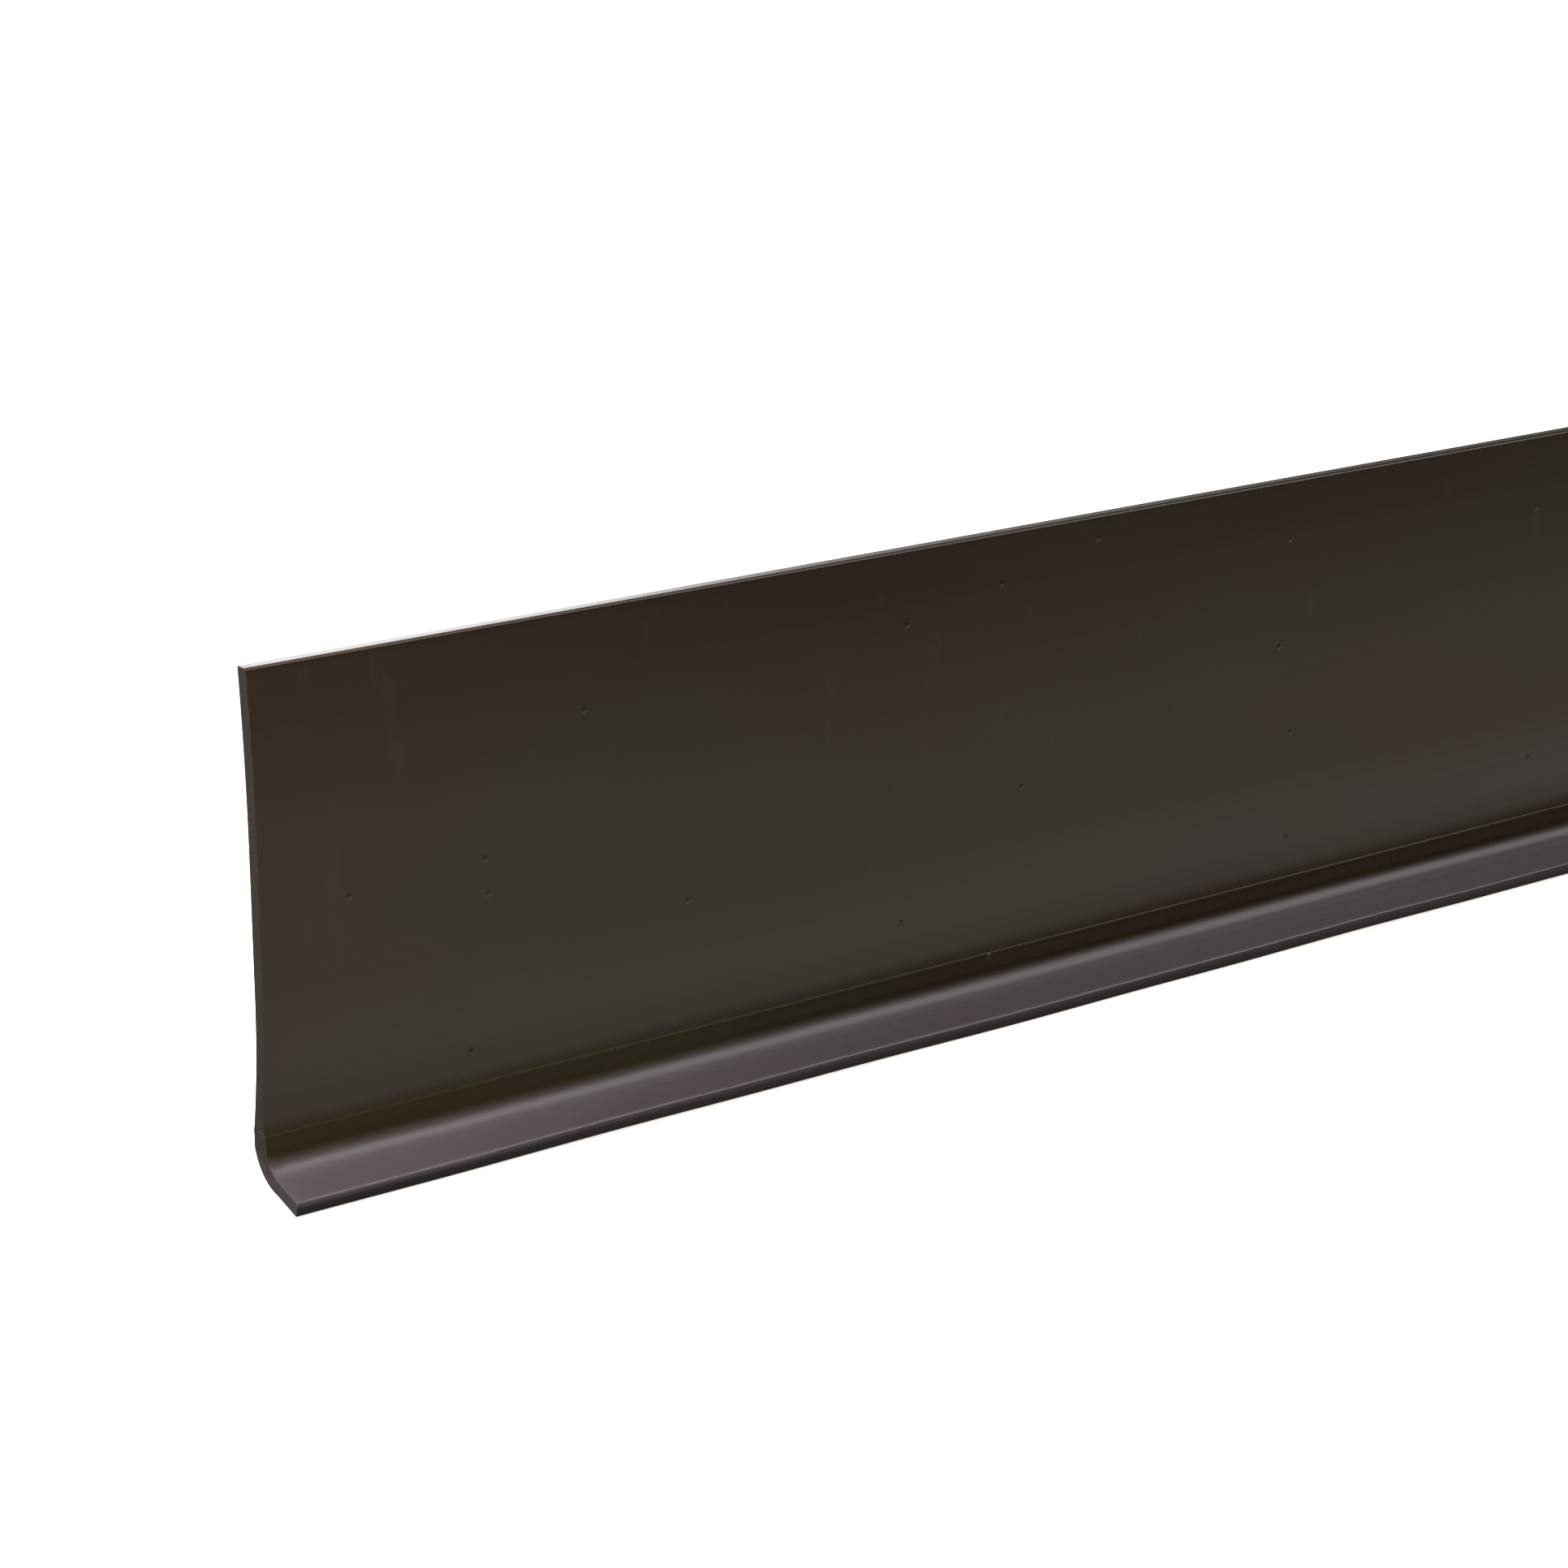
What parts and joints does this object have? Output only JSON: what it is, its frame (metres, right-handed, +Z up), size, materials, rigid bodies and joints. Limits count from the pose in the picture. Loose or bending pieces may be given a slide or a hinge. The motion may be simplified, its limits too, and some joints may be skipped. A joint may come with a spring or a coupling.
{
  "type": "door sweep",
  "caption": "Long flat brown vinyl strip with a coved flexible lip along its lower edge and peel-off foam tape on its back, to close the gap under a door.",
  "frame": {"origin": "centre of the bounding box's bottom: mid-length, mid-depth, level with the lip's lower edge", "axes": "+X along the sweep, +Y through the thickness into the door, +Z up; the exposed face looks along -Y"},
  "size_m": [0.9144, 0.016, 0.1016],
  "materials": {
    "strip_vinyl": "satin",
    "lip_vinyl": "satin",
    "foam": "matte",
    "adhesive": "gloss",
    "liner_film": "satin"
  },
  "bodies": {
    "strip": {"face_strip": "strip_vinyl", "upper_bond_film": "adhesive", "upper_foam_tape": "foam", "upper_grip_film": "adhesive", "lower_bond_film": "adhesive", "lower_foam_tape": "foam", "lower_grip_film": "adhesive"},
    "lip": {"sweep_lip": "lip_vinyl"},
    "upper_release": {"upper_liner": "liner_film"},
    "lower_release": {"lower_liner": "liner_film"}
  },
  "joints": [
    {"name": "lip_flex", "type": "hinge", "parent": "strip", "child": "lip", "pos_m": [0, 0.00529, 0.01053], "axis": [-1, 0, 0], "range_deg": [-20, 35], "stiffness_Nm_per_rad": 0.6},
    {"name": "upper_liner_peel", "type": "hinge", "parent": "strip", "child": "upper_release", "pos_m": [-0.4552, 0.00787, 0.0827], "axis": [0, 0, 1], "range_deg": [0, 75]},
    {"name": "lower_liner_peel", "type": "hinge", "parent": "strip", "child": "lower_release", "pos_m": [-0.4552, 0.00787, 0.0367], "axis": [0, 0, 1], "range_deg": [0, 75]}
  ]
}
